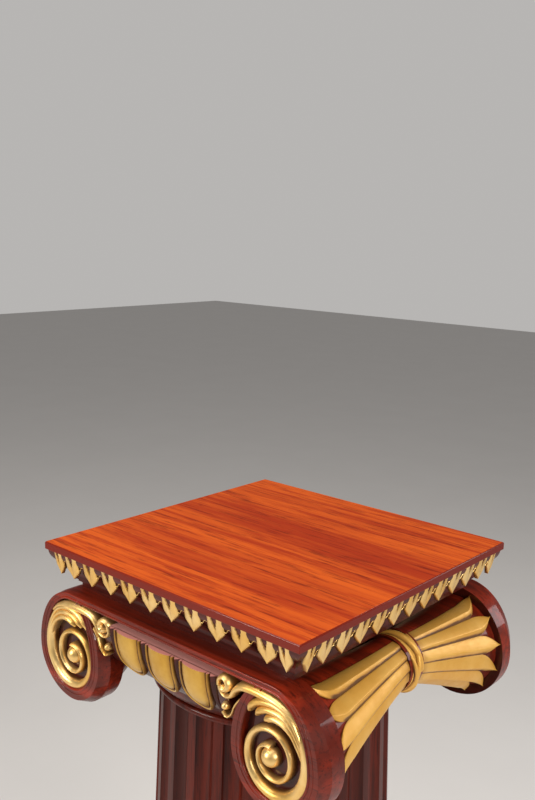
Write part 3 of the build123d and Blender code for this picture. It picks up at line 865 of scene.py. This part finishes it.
def carve_fan_leaf(carving, middle, half_turn, lean):
    """One pleat of the fan, from the tie to a pointed tip that curls out."""
    columns = (-1, -0.97, -0.9, -0.78, -0.62, -0.5, -0.43, -0.37, -0.3)
    columns += (-0.1, 0.15, 0.4, 0.65, 0.85, 0.96, 1)
    root = waist_half - 4 * mm
    tip = fan_tip_end - fan_tip_start
    reaches = [root + (fan_tip_start - root) * index / 16 for index in range(16)]
    reaches += [fan_tip_start + tip * index / 12 for index in range(13)]
    front, back, patina_and_shade = [], [], []
    for reach in reaches:
        point = max(0.0, (reach - fan_tip_start) / tip)
        width = half_turn * (1 - point**2)
        shift = lean * half_turn * 0.9 * point**1.6
        along = roll_share(reach)
        front_row, back_row, dark_row = [], [], []
        for column in columns:
            fold = (column + 1) / 0.6 if column < -0.4 else (1 - column) / 1.4
            height = 0.6 + (1.6 + 5.0 * along) * fold**0.85 * (1 - 0.6 * point) + 5 * point**2
            turn = middle + shift + column * width
            front_row.append(on_roll(turn, reach, height * mm))
            back_row.append(on_roll(turn, reach, (-0.8 + 3.6 * point**2) * mm))
            crease = 0.9 * shade(-column, 0.5, 0.92) + 0.5 * shade(column, 0.9, 1.0)
            crease *= 1 - shade(point, 0.1, 0.6)
            # Brown antiquing in the crease; the darkening next to the tie is painted shade.
            dark_row.append(max(crease, 0.45 * (1 - shade(along, 0.0, 0.12))))
        front.append(front_row)
        back.append(back_row)
        patina_and_shade.append(dark_row)
    carving.plate(front, back, patina_and_shade)


def fan_carving():
    """The right front fan. The upper pleats' tips lean up and the lower ones' lean down."""
    carved = Carving()
    half_turn = (fan_top_turn - fan_foot_turn) / pleat_count / 2
    for index in range(pleat_count):
        turn = fan_top_turn - (2 * index + 1) * half_turn
        carve_fan_leaf(carved, turn, half_turn * 0.99, max(-1.0, min(1.0, (turn - 20) / 45)))
    return carved


fan = fan_carving()
for corner, place in CORNERS.items():
    fan.moved(place).build(
        f"carved_fan_{corner}", "fan_gilding", [fan_gold], [f"gilt_fan_{corner}"], crease=38
    )


# ---- ties: a knotted band round each waist ----
# A strap's first and last turn round the roll, how it slants and how bulky it is.
STRAPS = ((112, -8, 0.95, 1.2), (72, -62, -0.9, 1.0), (30, -118, 0.9, 1.1))


def tie_carving():
    """The right tie: a band with a groove along it and three straps crossing over it."""
    carved = Carving()
    middle = Vector((waist_outset, 0, waist_height))
    section = (
        (-1, 0.0), (-0.97, 0.5), (-0.85, 0.9), (-0.5, 1.0), (0, 0.8),
        (0.5, 1.0), (0.85, 0.9), (0.97, 0.5), (1, 0.0),
    )
    rings, patina_and_shade = [], []
    for index in range(72):
        turn = 2 * pi * index / 72
        outward = Vector((cos(turn), 0, sin(turn)))
        swing = 2.0 * mm * sin(turn * 2 + 0.6)
        low = waist_radius - 1 * mm
        shape = [(across, waist_radius + (0.4 + 3.0 * up) * mm) for across, up in section]
        shape += [(1, low), (-1, low)]
        offsets = [Vector((0, across * tie_half_width + swing, 0)) for across, reach in shape]
        rings.append([middle + outward * reach + offset for (_, reach), offset in zip(shape, offsets)])
        patina_and_shade.append([0.6 * (1 - shade(up, 0.2, 0.7)) for across, up in section] + [0.8, 0.8])
    carved.sweep(rings, patina_and_shade, closed=True)
    for start, end, slope, bulk in STRAPS:
        rings, patina_and_shade = [], []
        for index in range(25):
            share = index / 24
            turn = radians(start + (end - start) * share)
            outward = Vector((cos(turn), 0, sin(turn)))
            side = slope * (-9 + 18 * share) * mm
            width = bulk * (1.6 + 2.0 * sin(pi * share)) * mm
            height = bulk * (2.4 + 3.8 * sin(pi * share) ** 0.6) * mm
            centre = Vector((waist_outset, side, waist_height)) + outward * waist_radius
            ring, tone = [], []
            for corner in range(11):
                bow = pi * corner / 10
                rise = 2 * mm + height * sin(bow) ** 0.7
                ring.append(centre + Vector((0, width * cos(bow), 0)) + outward * rise)
                tone.append(0.85 * (1 - shade(sin(bow), 0.15, 0.7)))
            ring.append(centre + Vector((0, -width, 0)) - outward * 0.5 * mm)
            ring.append(centre + Vector((0, width, 0)) - outward * 0.5 * mm)
            rings.append(ring)
            patina_and_shade.append(tone + [0.9, 0.9])
        carved.sweep(rings, patina_and_shade)
    return carved


tie = tie_carving()
tie.build("carved_tie_right", "fan_gilding", [fan_gold], ["gilt_tie_right"])
tie.moved(MIRROR_X).build("carved_tie_left", "fan_gilding", [fan_gold], ["gilt_tie_left"])


# ---- floor, light and camera ----
def area_light(name, place, target, size, power, colour):
    """A rectangular light at a place, turned to a target; power is in watts."""
    data = bpy.data.lights.new(name, "AREA")
    data.shape = "RECTANGLE"
    data.size, data.size_y = size
    data.energy = power
    data.color = colour
    light = bpy.data.objects.new(name, data)
    light.location = place
    light.rotation_euler = (Vector(target) - Vector(place)).to_track_quat("-Z", "Y").to_euler()
    bpy.context.scene.collection.objects.link(light)


floor_mesh = bpy.data.meshes.new("studio_floor")
floor_half = 12.0
floor_corners = [(x * floor_half, y * floor_half, 0) for x, y in ((-1, -1), (1, -1), (1, 1), (-1, 1))]
floor_mesh.from_pydata(floor_corners, [], [(0, 1, 2, 3)])
studio_floor = bpy.data.objects.new("studio_floor", floor_mesh)
bpy.context.scene.collection.objects.link(studio_floor)
floor_mesh.materials.append(plain("floor_paint", (0.66, 0.64, 0.625), (0.65, 0.63, 0.615), 3, 0.8))

area_light("overhead", (-0.3, -0.6, 3.2), (0, 0, 0.6), (2.2, 2.2), 50, (1, 0.975, 0.94))
area_light("key", (-1.1, -2.5, 1.9), (0, 0, 0.9), (1.0, 1.0), 60, (1, 0.95, 0.88))
area_light("side", (2.4, -0.6, 1.9), (0, 0, 0.9), (0.6, 1.2), 40, (1, 0.95, 0.88))
area_light("back", (1.4, 2.0, 1.6), (0, 0, 0.9), (1.2, 0.8), 14, (0.96, 0.98, 1))

world = bpy.data.worlds.new("studio")
world.use_nodes = True
tree = world.node_tree
backdrop = tree.nodes["Background"]
backdrop.inputs["Color"].default_value = (0.82, 0.8, 0.78, 1)
# Reflections see a dim backdrop, so that the lacquer stays dark; the camera and the fill light
# see a brighter one.
rays = tree.nodes.new("ShaderNodeLightPath")
mirrored_strength, seen_strength, fill_strength = 0.08, 0.5, 0.35
seen, filled = tree.nodes.new("ShaderNodeMath"), tree.nodes.new("ShaderNodeMath")
for term, kind, share in (
    (seen, "Is Camera Ray", seen_strength), (filled, "Is Diffuse Ray", fill_strength)
):
    term.operation = "MULTIPLY_ADD"
    tree.links.new(rays.outputs[kind], term.inputs[0])
    term.inputs[1].default_value = share
seen.inputs[2].default_value = mirrored_strength
tree.links.new(seen.outputs["Value"], filled.inputs[2])
tree.links.new(filled.outputs["Value"], backdrop.inputs["Strength"])
bpy.context.scene.world = world
bpy.context.scene.view_settings.view_transform = "Standard"

camera_place = (0.72680, -0.85381, 1.45812)
forward = Vector((-0.64882, 0.73772, -0.18654)).normalized()
roll = radians(1.3718)
camera_data = bpy.data.cameras.new("camera")
camera_data.lens = 41.05
camera = bpy.data.objects.new("camera", camera_data)
bpy.context.scene.collection.objects.link(camera)
level_right = forward.cross(UP).normalized()
level_up = level_right.cross(forward)
camera_right = cos(roll) * level_right + sin(roll) * level_up
camera_up = -sin(roll) * level_right + cos(roll) * level_up
turned = Matrix((camera_right, camera_up, -forward)).transposed().to_4x4()
camera.matrix_world = Matrix.Translation(camera_place) @ turned
bpy.context.scene.camera = camera
